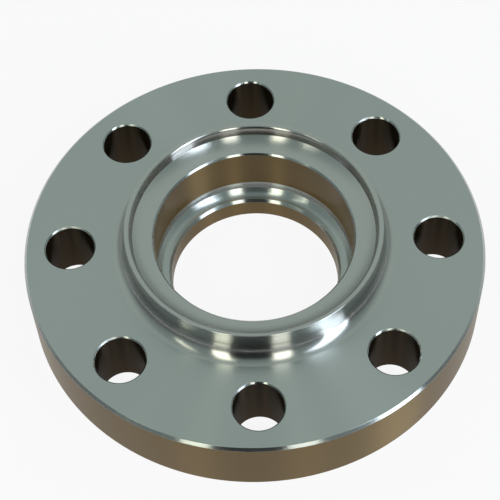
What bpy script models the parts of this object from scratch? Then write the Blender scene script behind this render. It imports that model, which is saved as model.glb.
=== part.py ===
"""Socket weld flange: one steel forging, turned on a lathe and drilled.

Metres, +Z up. The origin is the centre of the gasket face, on which the flange
rests, and the hub points up. The turned form is one closed section, given by its
corners and spun about Z. The bolt holes are then cut through the flange.
"""
import math

import bmesh
import bpy
from mathutils import Matrix, Vector

# The pipe that the flange is made for sets the socket and the through bore.
PIPE_DIAMETER = 0.0889
PIPE_WALL = 0.0055
SOCKET_CLEARANCE = 0.0018

# Flange ring
FLANGE_DIAMETER = 0.2096
FLANGE_THICKNESS = 0.0318
RIM_CHAMFER = 0.0012

# Gasket face, raised a little from the underside
RAISED_FACE_DIAMETER = 0.127
RAISED_FACE_HEIGHT = 0.0016
RAISED_FACE_CHAMFER = 0.0004

# Bolt holes, evenly spaced round the ring, with one on +X
BOLT_HOLE_COUNT = 8
BOLT_HOLE_DIAMETER = 0.0222
BOLT_HOLE_CHAMFER = 0.0007
BOLT_CIRCLE_INSET = 0.02075
DRILL_OVERRUN = 0.003

# Hub: its wall at the foot is measured from the socket, and it narrows to the lip.
HUB_WALL = 0.0134
HUB_HEIGHT = 0.0142
HUB_TAPER = math.radians(4.6)
HUB_FILLET = 0.005
LIP_EDGE_FILLET = 0.0002

# Lip: its crown falls inwards, and then its inner side leans down to the recess.
LIP_WIDTH = 0.0027
CROWN_WIDTH = 0.0011
CROWN_FALL = math.radians(25)
CROWN_FILLET = 0.0022

# Recess inside the lip: its floor is dished, steep at the lip and level at the socket.
RECESS_DEPTH = 0.0075
DISH_SLOPE = math.radians(35)
DISH_RISE = 0.00275
DISH_FILLET = 0.0153

# Socket and through bore: the pipe's end stops at the seat between them, dished as well.
BORE_LENGTH = 0.0118
SEAT_SLOPE = math.radians(42)
SEAT_RISE = 0.0025
SEAT_FILLET = 0.0052
MOUTH_CHAMFER = 0.0008
EDGE_CHAMFER = 0.0012

# Facets
TURNED_STEPS = 80
HOLE_STEPS = 24
ARC_STEP = math.radians(24)
SHARP_ANGLE = math.radians(30)
MERGE_DISTANCE = 1e-7

# Turned steel
STEEL_COLOUR = (0.55, 0.58, 0.56, 1.0)
STEEL_ROUGHNESS = 0.28


class Corner:
    """A corner of a turned section, with the fillet or the chamfer that breaks it."""

    def __init__(self, radius, height, fillet=0.0, chamfer=0.0):
        self.point = Vector((radius, 0, height))
        self.fillet = fillet
        self.chamfer = chamfer


def broken_corner(corner, side_before, side_after, reach, half_angle):
    """The points of one corner, cut back along both of its sides by its reach."""
    back = -side_before.normalized()
    ahead = side_after.normalized()
    start = corner.point + back * reach
    end = corner.point + ahead * reach
    if corner.fillet:
        radius = reach * math.tan(half_angle)
        centre = corner.point + (back + ahead).normalized() * radius / math.sin(half_angle)
        first = start - centre
        last = end - centre
        steps = max(2, math.ceil(first.angle(last) / ARC_STEP))
        turns = [step / steps for step in range(steps + 1)]
        return [centre + first.normalized().slerp(last.normalized(), turn) * radius for turn in turns]
    if corner.chamfer:
        return [start, end]
    return [corner.point]


def section(corners):
    """The closed outline through the corners. Breaks that meet on a short side share it."""
    count = len(corners)
    sides = [corners[(i + 1) % count].point - corners[i].point for i in range(count)]
    half_angles = [(-sides[i - 1]).angle(sides[i]) / 2 for i in range(count)]
    reaches = [corner.chamfer or corner.fillet / math.tan(half_angle)
               for corner, half_angle in zip(corners, half_angles)]
    outline = []
    for i, corner in enumerate(corners):
        reach = reaches[i]
        if reach:
            share_before = reaches[i] / (reaches[i] + reaches[i - 1])
            share_after = reaches[i] / (reaches[i] + reaches[(i + 1) % count])
            reach = min(reach, sides[i - 1].length * share_before, sides[i].length * share_after)
        outline += broken_corner(corner, sides[i - 1], sides[i], reach, half_angles[i])
    return outline


def turn(bm, outline, steps, centre, closed=True):
    """Spin an outline a full turn about the upright axis through the centre."""
    points = [bm.verts.new(point + centre) for point in outline]
    ends = points[1:] + points[:1] if closed else points[1:]
    edges = [bm.edges.new(pair) for pair in zip(points, ends)]
    bmesh.ops.spin(bm, geom=points + edges, cent=centre, axis=(0, 0, 1),
                   angle=math.tau, steps=steps, use_merge=True)


def solid(name, bm):
    """Close the mesh, face it outwards and put it in the scene under its name."""
    bmesh.ops.remove_doubles(bm, verts=bm.verts, dist=MERGE_DISTANCE)
    bmesh.ops.recalc_face_normals(bm, faces=bm.faces)
    mesh = bpy.data.meshes.new(name)
    bm.to_mesh(mesh)
    bm.free()
    piece = bpy.data.objects.new(name, mesh)
    bpy.context.collection.objects.link(piece)
    return piece


def turned_flange():
    """The ring, hub, recess, socket and through bore as one turned solid."""
    underside = RAISED_FACE_HEIGHT
    back = underside + FLANGE_THICKNESS
    lip = back + HUB_HEIGHT
    flange_radius = FLANGE_DIAMETER / 2
    socket_radius = (PIPE_DIAMETER + SOCKET_CLEARANCE) / 2
    bore_radius = PIPE_DIAMETER / 2 - PIPE_WALL
    hub_radius = socket_radius + HUB_WALL
    lip_radius = hub_radius - HUB_HEIGHT * math.tan(HUB_TAPER)
    crown_radius = lip_radius - CROWN_WIDTH
    crown = lip - CROWN_WIDTH * math.tan(CROWN_FALL)
    recess_radius = lip_radius - LIP_WIDTH
    recess_floor = lip - RECESS_DEPTH
    dish_radius = recess_radius - DISH_RISE / math.tan(DISH_SLOPE)
    seat_radius = socket_radius - SEAT_RISE / math.tan(SEAT_SLOPE)
    outline = section([
        Corner(bore_radius, 0, chamfer=EDGE_CHAMFER),
        Corner(RAISED_FACE_DIAMETER / 2, 0, chamfer=RAISED_FACE_CHAMFER),
        Corner(RAISED_FACE_DIAMETER / 2, underside),
        Corner(flange_radius, underside, chamfer=RIM_CHAMFER),
        Corner(flange_radius, back, chamfer=RIM_CHAMFER),
        Corner(hub_radius, back, fillet=HUB_FILLET),
        Corner(lip_radius, lip, fillet=LIP_EDGE_FILLET),
        Corner(crown_radius, crown, fillet=CROWN_FILLET),
        Corner(recess_radius, recess_floor + DISH_RISE),
        Corner(dish_radius, recess_floor, fillet=DISH_FILLET),
        Corner(socket_radius, recess_floor, chamfer=MOUTH_CHAMFER),
        Corner(socket_radius, BORE_LENGTH + SEAT_RISE),
        Corner(seat_radius, BORE_LENGTH, fillet=SEAT_FILLET),
        Corner(bore_radius, BORE_LENGTH, chamfer=EDGE_CHAMFER),
    ])
    bm = bmesh.new()
    turn(bm, outline, TURNED_STEPS, Vector())
    return solid("flange", bm)


def bolt_drills():
    """A drill for each bolt hole. It flares at both faces, which breaks the hole's edges."""
    underside = RAISED_FACE_HEIGHT
    back = underside + FLANGE_THICKNESS
    hole_radius = BOLT_HOLE_DIAMETER / 2
    flare_radius = hole_radius + BOLT_HOLE_CHAMFER + DRILL_OVERRUN
    outline = [
        Vector((0, 0, underside - DRILL_OVERRUN)),
        Vector((flare_radius, 0, underside - DRILL_OVERRUN)),
        Vector((hole_radius, 0, underside + BOLT_HOLE_CHAMFER)),
        Vector((hole_radius, 0, back - BOLT_HOLE_CHAMFER)),
        Vector((flare_radius, 0, back + DRILL_OVERRUN)),
        Vector((0, 0, back + DRILL_OVERRUN)),
    ]
    first_hole = Vector((FLANGE_DIAMETER / 2 - BOLT_CIRCLE_INSET, 0, 0))
    bm = bmesh.new()
    for hole in range(BOLT_HOLE_COUNT):
        turned_to = Matrix.Rotation(math.tau * hole / BOLT_HOLE_COUNT, 3, "Z")
        turn(bm, outline, HOLE_STEPS, turned_to @ first_hole, closed=False)
    return solid("bolt_drills", bm)


def drill(piece, drills):
    """Cut the holes and keep the result as the piece's own mesh."""
    cut = piece.modifiers.new("bolt holes", "BOOLEAN")
    cut.object = drills
    evaluated = piece.evaluated_get(bpy.context.evaluated_depsgraph_get())
    piece.data = bpy.data.meshes.new_from_object(evaluated)
    piece.data.name = piece.name
    piece.modifiers.clear()
    bpy.data.objects.remove(drills)


def turned_steel():
    """Bright machined steel, cool grey, with the soft gloss of a fine turning cut."""
    steel = bpy.data.materials.new("turned_steel")
    steel.use_nodes = True
    shader = steel.node_tree.nodes["Principled BSDF"]
    shader.inputs["Base Color"].default_value = STEEL_COLOUR
    shader.inputs["Metallic"].default_value = 1.0
    shader.inputs["Roughness"].default_value = STEEL_ROUGHNESS
    return steel


def build():
    for old in list(bpy.data.objects):
        bpy.data.objects.remove(old)
    flange = turned_flange()
    drill(flange, bolt_drills())
    flange.data.materials.clear()
    flange.data.materials.append(turned_steel())
    flange.data.shade_smooth()
    flange.data.set_sharp_from_angle(angle=SHARP_ANGLE)


build()
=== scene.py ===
"""A socket weld flange on a pale studio floor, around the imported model.

Metres, +Z up. The gasket face lies on the floor at z = 0, the hub points up,
and one bolt hole is on +X.
"""
import math

import bmesh
import bpy
from mathutils import Matrix, Vector


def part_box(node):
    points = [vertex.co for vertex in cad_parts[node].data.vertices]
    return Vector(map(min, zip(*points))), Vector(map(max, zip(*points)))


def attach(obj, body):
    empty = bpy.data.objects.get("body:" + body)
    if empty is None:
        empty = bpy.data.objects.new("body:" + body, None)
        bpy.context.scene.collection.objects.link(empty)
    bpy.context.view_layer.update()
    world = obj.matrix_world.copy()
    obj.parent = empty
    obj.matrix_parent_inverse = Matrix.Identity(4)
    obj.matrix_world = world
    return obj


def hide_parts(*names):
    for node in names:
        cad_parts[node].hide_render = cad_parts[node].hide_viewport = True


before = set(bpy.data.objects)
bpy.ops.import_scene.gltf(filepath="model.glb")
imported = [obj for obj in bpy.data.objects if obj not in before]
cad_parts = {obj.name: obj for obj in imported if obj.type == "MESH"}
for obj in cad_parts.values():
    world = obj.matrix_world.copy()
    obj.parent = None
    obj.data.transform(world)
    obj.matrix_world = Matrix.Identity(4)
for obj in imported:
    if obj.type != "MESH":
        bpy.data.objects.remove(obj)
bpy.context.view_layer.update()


# Flange: one steel forging, turned all over on a lathe. Its ring, gasket face, hub,
# lip, recess, socket and bore are one section spun about Z, and every edge is broken.
flange_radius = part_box("flange")[1].x
lip_height = 0.0476
hub_height = 0.0142
back_height = lip_height - hub_height
gasket_face_rise = 0.0016
rim_break = 0.0012
gasket_face_radius = 0.0635
gasket_face_break = 0.0004
edge_break = 0.0012
mouth_break = 0.0008
tool_nose = 0.00025

# The socket ends in a dished seat, above the through bore.
socket_radius = 0.04535
bore_radius = 0.03895
bore_length = 0.0118
seat_rise = 0.0025
seat_fall = 0.0004
seat_slope = math.radians(42)
seat_radius = socket_radius - seat_rise / math.tan(seat_slope)
seat_fillet = 0.0058

# The hub narrows from a wide fillet at its foot to the lip.
hub_wall = 0.0134
hub_taper = math.radians(4.6)
hub_radius = socket_radius + hub_wall
hub_fillet = 0.0068

# The recess inside the lip has a dished floor.
recess_inset = 0.0027
recess_depth = 0.0075
recess_radius = hub_radius - hub_height * math.tan(hub_taper) - recess_inset
recess_floor = lip_height - recess_depth
dish_rise = 0.00275
dish_slope = math.radians(35)
dish_radius = recess_radius - dish_rise / math.tan(dish_slope)
dish_fillet = 0.0153

# The lip's top falls a little inwards and turns over a soft crown into the recess. It
# stands just lower than its nominal height, because its outer edge is rounded.
lip_width = 0.0033
lip_radius = recess_radius + lip_width
lip_top = lip_height - 0.00007
lip_outer_fillet = 0.00035
crown_inset = 0.0009
crown_slope = math.radians(6)
crown_radius = recess_radius + crown_inset
crown_fall = (lip_radius - crown_radius) * math.tan(crown_slope)
lip_inner_fillet = 0.0014

turned_steps = 288
arc_step = math.radians(7)
merge_distance = 1e-7


def rounded(corners):
    """The closed outline through (radius, height, fillet) corners, with an arc at each."""
    points = [Vector((radius, 0, height)) for radius, height, _ in corners]
    outline = []
    for i, (_, _, fillet) in enumerate(corners):
        back = (points[i - 1] - points[i]).normalized()
        ahead = (points[(i + 1) % len(points)] - points[i]).normalized()
        if not fillet:
            outline.append(points[i])
            continue
        half_angle = back.angle(ahead) / 2
        reach = fillet / math.tan(half_angle)
        centre = points[i] + (back + ahead).normalized() * fillet / math.sin(half_angle)
        first = points[i] + back * reach - centre
        last = points[i] + ahead * reach - centre
        steps = max(2, math.ceil(first.angle(last) / arc_step))
        outline += [centre + first.normalized().slerp(last.normalized(), step / steps) * fillet
                    for step in range(steps + 1)]
    return outline


def turned(name, outlines, steps):
    """A mesh object of outlines, each spun a full turn about the upright axis at its centre."""
    bm = bmesh.new()
    for outline, centre in outlines:
        rings = []
        for step in range(steps):
            turn = Matrix.Rotation(math.tau * step / steps, 3, "Z")
            rings.append([bm.verts.new(turn @ point + centre) for point in outline])
        for ring, following in zip(rings, rings[1:] + rings[:1]):
            for i in range(len(outline)):
                bm.faces.new((ring[i - 1], ring[i], following[i], following[i - 1]))
    bmesh.ops.remove_doubles(bm, verts=bm.verts, dist=merge_distance)
    bmesh.ops.recalc_face_normals(bm, faces=bm.faces)
    mesh = bpy.data.meshes.new(name)
    bm.to_mesh(mesh)
    bm.free()
    piece = bpy.data.objects.new(name, mesh)
    bpy.context.collection.objects.link(piece)
    return piece


# The gasket face is cut last, with a round-nosed tool that leaves fine concentric
# serrations for the gasket to bite into.
groove_pitch = 0.0005
groove_depth = 0.00003
bore_land = 0.0006
rim_land = 0.0004
groove_start = bore_radius + edge_break + bore_land
groove_end = gasket_face_radius - gasket_face_break - rim_land
groove_count = int((groove_end - groove_start) / groove_pitch)
serrations = []
for groove in range(groove_count):
    crest = groove_start + groove * groove_pitch
    serrations.append((crest, 0, 0))
    serrations.append((crest + groove_pitch / 2, groove_depth, 0))
serrations.append((groove_start + groove_count * groove_pitch, 0, 0))

flange_section = rounded([
    (bore_radius, edge_break, tool_nose),
    (bore_radius + edge_break, 0, tool_nose),
    *serrations,
    (gasket_face_radius - gasket_face_break, 0, tool_nose / 2),
    (gasket_face_radius, gasket_face_break, tool_nose / 2),
    (gasket_face_radius, gasket_face_rise, tool_nose),
    (flange_radius - rim_break, gasket_face_rise, tool_nose),
    (flange_radius, gasket_face_rise + rim_break, tool_nose),
    (flange_radius, back_height - rim_break, tool_nose),
    (flange_radius - rim_break, back_height, tool_nose),
    (hub_radius, back_height, hub_fillet),
    (lip_radius, lip_top, lip_outer_fillet),
    (crown_radius, lip_top - crown_fall, lip_inner_fillet),
    (recess_radius, recess_floor + dish_rise, tool_nose),
    (dish_radius, recess_floor, dish_fillet),
    (socket_radius + mouth_break, recess_floor, tool_nose),
    (socket_radius, recess_floor - mouth_break, tool_nose),
    (socket_radius, bore_length + seat_rise, tool_nose),
    (seat_radius, bore_length + seat_fall, seat_fillet),
    (bore_radius + edge_break, bore_length, tool_nose),
    (bore_radius, bore_length - edge_break, tool_nose),
])
flange = turned("socket_weld_flange", [(flange_section, Vector())], turned_steps)

# The bolt holes are drilled through the ring, evenly spaced on one circle, and the
# edge of each is broken at both faces.
hole_count = 8
hole_radius = 0.0111
bolt_circle_inset = 0.02075
bolt_circle_radius = flange_radius - bolt_circle_inset
hole_break = 0.0007
hole_edge_fillet = 0.0005
drill_overrun = 0.003
drill_flare = math.radians(14)
drill_steps = 96
flare = math.tan(drill_flare) * drill_overrun
drill_section = rounded([
    (0, gasket_face_rise - flare, 0),
    (hole_radius + hole_break + drill_overrun, gasket_face_rise - flare, 0),
    (hole_radius + hole_break, gasket_face_rise, hole_edge_fillet),
    (hole_radius, gasket_face_rise + hole_break, hole_edge_fillet),
    (hole_radius, back_height - hole_break, hole_edge_fillet),
    (hole_radius + hole_break, back_height, hole_edge_fillet),
    (hole_radius + hole_break + drill_overrun, back_height + flare, 0),
    (0, back_height + flare, 0),
])
first_hole = Vector((bolt_circle_radius, 0, 0))
hole_places = [Matrix.Rotation(math.tau * hole / hole_count, 3, "Z") @ first_hole
               for hole in range(hole_count)]
drills = turned("bolt_drills", [(drill_section, place) for place in hole_places], drill_steps)
cut = flange.modifiers.new("bolt holes", "BOOLEAN")
cut.object = drills
cut.solver = "EXACT"
drilled = flange.evaluated_get(bpy.context.evaluated_depsgraph_get())
flange.data = bpy.data.meshes.new_from_object(drilled)
flange.modifiers.clear()
bpy.data.objects.remove(drills)

# Edges stay crisp above this angle, and flat faces shade flat right up to them.
sharp_angle = math.radians(35)
flange.data.shade_smooth()
flange.data.set_sharp_from_angle(angle=sharp_angle)
facing = flange.modifiers.new("flat faces stay flat", "WEIGHTED_NORMAL")
facing.keep_sharp = True
facing.weight = 50


class Wire:
    """An output of a shader node. Arithmetic on wires adds the Math nodes behind it."""

    def __init__(self, tree, socket):
        self.tree = tree
        self.socket = socket

    @classmethod
    def node(cls, tree, kind, settings=None, inputs=None, output=0):
        """Add a node: its settings first, then the values or the wires of its inputs."""
        made = tree.nodes.new(kind)
        for name, value in (settings or {}).items():
            setattr(made, name, value)
        for name, value in (inputs or {}).items():
            if isinstance(value, Wire):
                tree.links.new(value.socket, made.inputs[name])
            else:
                made.inputs[name].default_value = value
        return cls(tree, made.outputs[output])

    def math(self, operation, *values):
        inputs = dict(enumerate(values))
        return Wire.node(self.tree, "ShaderNodeMath", {"operation": operation}, inputs)

    def __add__(self, other):
        return self.math("ADD", self, other)

    def __radd__(self, other):
        return self.math("ADD", other, self)

    def __sub__(self, other):
        return self.math("SUBTRACT", self, other)

    def __rsub__(self, other):
        return self.math("SUBTRACT", other, self)

    def __mul__(self, other):
        return self.math("MULTIPLY", self, other)

    def __rmul__(self, other):
        return self.math("MULTIPLY", other, self)

    def __abs__(self):
        return self.math("ABSOLUTE", self)

    def rise(self, low, high):
        """0 up to low and 1 from high, with a soft step between them. High may be the lower."""
        return Wire.node(self.tree, "ShaderNodeMapRange", {"interpolation_type": "SMOOTHSTEP"},
                         {"Value": self, "From Min": low, "From Max": high})

    def blend(self, start, end):
        """The colour start where this is 0 and the colour end where it is 1."""
        mixed = Wire.node(self.tree, "ShaderNodeMix", {"data_type": "RGBA"},
                          {0: self, 6: start, 7: end})
        return Wire(self.tree, mixed.socket.node.outputs[2])


# Finish: bright machined steel under a film of rust-preventing oil. The upright walls are duller
# than the faces. Their brown is a painted reflection of brown ground, and the bolt hole walls
# are painted darker still as painted shade. The hub and its recess are burnished.
face_colour = (0.56, 0.585, 0.575, 1)
hub_colour = (0.60, 0.60, 0.585, 1)
# Painted reflection: this brown stands for brown ground mirrored in the upright walls, not the
# steel's own colour.
painted_reflection_wall_colour = (0.180, 0.118, 0.044, 1)
# Painted shade: the bolt hole walls are darkened for the shade deep inside the holes.
painted_shade_hole_colour = (0.050, 0.034, 0.018, 1)
steel = bpy.data.materials.new("machined_steel")
steel.use_nodes = True
tree = steel.node_tree
place = Wire.node(tree, "ShaderNodeTexCoord", output="Object")
split = Wire.node(tree, "ShaderNodeSeparateXYZ", inputs={0: place}).socket.node
x, y, z = (Wire(tree, output) for output in split.outputs)
radius_squared = x * x + y * y
radius = radius_squared.math("SQRT", radius_squared)
normal = Wire.node(tree, "ShaderNodeNewGeometry", output="Normal")
split = Wire.node(tree, "ShaderNodeSeparateXYZ", inputs={0: normal}).socket.node
upright = abs(Wire(tree, split.outputs[2])).rise(0.55, 0.2)

# Each zone is bounded by a radius or a height, from where a mask is 0 to where it is 1.
outside_mouth = (0.0462, 0.0468)
inside_hub_foot = (0.0650, 0.0632)
above_back_face = (0.0330, 0.0336)
inside_socket = (0.0462, 0.0457)
below_seat_top = (0.0190, 0.0176)
above_seat_foot = (0.0105, 0.0115)
outside_hub = (0.0660, 0.0670)
inside_rim = (0.1000, 0.0990)
hub_zone = radius.rise(*outside_mouth) * radius.rise(*inside_hub_foot) * z.rise(*above_back_face)
seat_zone = radius.rise(*inside_socket) * z.rise(*below_seat_top) * z.rise(*above_seat_foot)
drilled_zone = radius.rise(*outside_hub) * radius.rise(*inside_rim)
# The upright walls outside the hub and seat get the oil coat, extra roughness and the painted
# brown reflection.
oiled_wall_and_painted_reflection = upright * (1 - hub_zone) * (1 - seat_zone)

# Turning leaves broad bands and fine marks round the axis, and hands leave smears.
rings = Wire.node(tree, "ShaderNodeCombineXYZ", inputs={0: radius, 1: z})
bands = Wire.node(tree, "ShaderNodeTexNoise",
                  inputs={"Vector": rings, "Scale": 700, "Detail": 6, "Roughness": 0.65})
marks = Wire.node(tree, "ShaderNodeTexNoise",
                  inputs={"Vector": rings, "Scale": 5200, "Detail": 3})
smears = Wire.node(tree, "ShaderNodeTexNoise",
                   inputs={"Vector": place, "Scale": 26, "Detail": 4})
# The walls' painted brown reflection, turned into darker painted shade inside the bolt holes.
painted_reflection_and_shade = drilled_zone.blend(painted_reflection_wall_colour, painted_shade_hole_colour)
colour = oiled_wall_and_painted_reflection.blend(hub_zone.blend(face_colour, hub_colour), painted_reflection_and_shade)

face_roughness = 0.19
hub_polish = 0.01
wall_dullness = 0.22
band_change = 0.05
smear_change = 0.04
roughness = face_roughness - hub_polish * hub_zone + wall_dullness * oiled_wall_and_painted_reflection
roughness = roughness + band_change * (bands - 0.5) + smear_change * (smears - 0.5)
wall_oil = 0.25
oil = wall_oil * oiled_wall_and_painted_reflection * (1 - drilled_zone)
bump = Wire.node(tree, "ShaderNodeBump",
                 inputs={"Strength": 0.12, "Distance": 0.00005, "Height": marks})
shader = tree.nodes["Principled BSDF"]
shader.inputs["Metallic"].default_value = 1
shader.inputs["Anisotropic"].default_value = 1.0
shader.inputs["Anisotropic Rotation"].default_value = 0.25
shader.inputs["Coat Roughness"].default_value = 0.12
tree.links.new(oil.socket, shader.inputs["Coat Weight"])
tree.links.new(colour.socket, shader.inputs["Base Color"])
tree.links.new(roughness.socket, shader.inputs["Roughness"])
tree.links.new(bump.socket, shader.inputs["Normal"])
flange.data.materials.clear()
flange.data.materials.append(steel)

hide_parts("flange")
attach(flange, "root")


# Floor: a wide white board, under the flange and out past all that its sides mirror. It
# is mostly plain white to the eye and in the steel, and a little of it takes shadow.
floor_half = 12
floor_glow = 0.9


def fill_sheet(mesh, half_width, half_height):
    """Give a mesh one flat rectangle, centred on its origin."""
    mesh.from_pydata([(-half_width, -half_height, 0), (half_width, -half_height, 0),
                      (half_width, half_height, 0), (-half_width, half_height, 0)],
                     [], [(0, 1, 2, 3)])


floor_mesh = bpy.data.meshes.new("floor")
fill_sheet(floor_mesh, floor_half, floor_half)
floor = bpy.data.objects.new("floor", floor_mesh)
bpy.context.collection.objects.link(floor)
board = bpy.data.materials.new("white_board")
board.use_nodes = True
tree = board.node_tree
tree.nodes.remove(tree.nodes["Principled BSDF"])
path = Wire.node(tree, "ShaderNodeLightPath").socket.node
seen = Wire(tree, path.outputs["Is Camera Ray"])
seen = seen.math("MAXIMUM", seen, Wire(tree, path.outputs["Is Glossy Ray"]))
seen = seen.math("MAXIMUM", seen, Wire(tree, path.outputs["Is Transmission Ray"]))
matt = Wire.node(tree, "ShaderNodeBsdfDiffuse", inputs={"Color": (0.9, 0.9, 0.9, 1)})
white = Wire.node(tree, "ShaderNodeEmission", inputs={"Color": (1, 1, 1, 1), "Strength": 1})
surface = Wire.node(tree, "ShaderNodeMixShader", inputs={0: seen * floor_glow, 1: matt, 2: white})
tree.links.new(surface.socket, tree.nodes["Material Output"].inputs["Surface"])
floor_mesh.materials.append(board)


# Light: a plain grey-green room, darker behind the camera. Two strip boxes lean over the
# flange there with a black flag between them, a window box stands on the right, and a
# small lamp on the left.
ceiling_colour = (0.42, 0.49, 0.46, 1)
front_ceiling_colour = (0.23, 0.29, 0.28, 1)
room_wall_colour = (0.21, 0.25, 0.24, 1)
front_wall_colour = (0.09, 0.10, 0.10, 1)
room = bpy.data.worlds.new("room")
room.use_nodes = True
tree = room.node_tree
way = Wire.node(tree, "ShaderNodeTexCoord", output="Generated")
split = Wire.node(tree, "ShaderNodeSeparateXYZ", inputs={0: way}).socket.node
depth, height = (Wire(tree, split.outputs[axis]) for axis in (1, 2))
front = depth.rise(0.36, -0.14)
ceiling = front.blend(ceiling_colour, front_ceiling_colour)
walls = front.blend(room_wall_colour, front_wall_colour)
surround = height.rise(0.20, 0.62).blend(walls, ceiling)
tree.links.new(surround.socket, tree.nodes["Background"].inputs["Color"])
bpy.context.scene.world = room

studio_distance = 1.6
strip_azimuth = -94.2
strip_low = 24
strip_high = 75
strip_aside = 0.5475
strip_lean = 12.6


def stand(piece, azimuth, low, high, aside=0, lean=0):
    """Stand a piece in the studio, its face to the flange, from one angle of height to another.
    It may stand aside to the left of that line, and it leans over the flange by an angle."""
    azimuth = math.radians(azimuth)
    lean = math.radians(lean)
    toward = Vector((math.cos(azimuth), math.sin(azimuth), 0))
    beside = Vector((-toward.y, toward.x, 0))
    up = Vector((0, 0, math.cos(lean))) - toward * math.sin(lean)
    slopes = [math.tan(math.radians(angle)) for angle in (low, high)]
    bottom, top = (studio_distance * slope / (math.cos(lean) + slope * math.sin(lean))
                   for slope in slopes)
    piece.location = toward * studio_distance + beside * aside + up * (bottom + top) / 2
    piece.rotation_mode = "QUATERNION"
    piece.rotation_quaternion = beside.cross(up).to_track_quat("Z", "Y")
    piece.visible_camera = False
    return top - bottom


def light_box(name, width, brightness, colour, azimuth, low, high, **turn):
    """A soft box of that width, as bright as a white of that brightness."""
    lamp = bpy.data.lights.new(name, "AREA")
    box = bpy.data.objects.new(name, lamp)
    bpy.context.collection.objects.link(box)
    lamp.shape = "RECTANGLE"
    lamp.size = width
    lamp.size_y = stand(box, azimuth, low, high, **turn)
    lamp.energy = brightness * math.pi * lamp.size * lamp.size_y
    lamp.color = colour


light_box("right_strip", 0.345, 2.2, (1, 0.99, 0.88), strip_azimuth, strip_low, strip_high,
          aside=strip_aside, lean=strip_lean)
light_box("left_strip", 0.310, 2.3, (1, 1, 0.80), strip_azimuth, strip_low, strip_high,
          aside=-strip_aside, lean=strip_lean)
light_box("window_box", 0.50, 3.8, (0.80, 0.90, 1), azimuth=-35, low=0, high=66)
light_box("side_lamp", 0.16, 2.4, (1, 1, 0.80), azimuth=-150, low=42, high=64)

flag_half_width = 0.36
flag_mesh = bpy.data.meshes.new("flag")
flag = bpy.data.objects.new("flag", flag_mesh)
bpy.context.collection.objects.link(flag)
flag_height = stand(flag, strip_azimuth, low=0, high=58, lean=strip_lean)
fill_sheet(flag_mesh, flag_half_width, flag_height / 2)
velvet = bpy.data.materials.new("black_velvet")
velvet.use_nodes = True
cloth = velvet.node_tree.nodes["Principled BSDF"]
cloth.inputs["Base Color"].default_value = (0.01, 0.01, 0.01, 1)
cloth.inputs["Roughness"].default_value = 1
flag_mesh.materials.append(velvet)

bpy.context.scene.view_settings.view_transform = "Standard"


# Camera: high in front of the flange, at the photograph's angle, turned a little.
aim = Vector((-0.0020, -0.0042, 0.0334))
view_azimuth = math.radians(-89.26)
view_elevation = math.radians(56.03)
view_distance = 0.6629
view_roll = math.radians(-2.33)
camera_data = bpy.data.cameras.new("camera")
camera_data.lens = 105.15
camera_data.sensor_width = 36
camera = bpy.data.objects.new("camera", camera_data)
bpy.context.collection.objects.link(camera)
out = Vector((math.cos(view_azimuth) * math.cos(view_elevation),
              math.sin(view_azimuth) * math.cos(view_elevation), math.sin(view_elevation)))
level = Vector((0, 0, 1)).cross(out).normalized()
facing_out = Matrix((level, out.cross(level), out)).transposed()
camera_turn = facing_out @ Matrix.Rotation(view_roll, 3, "Z")
camera.matrix_world = Matrix.Translation(aim + out * view_distance) @ camera_turn.to_4x4()
bpy.context.scene.camera = camera
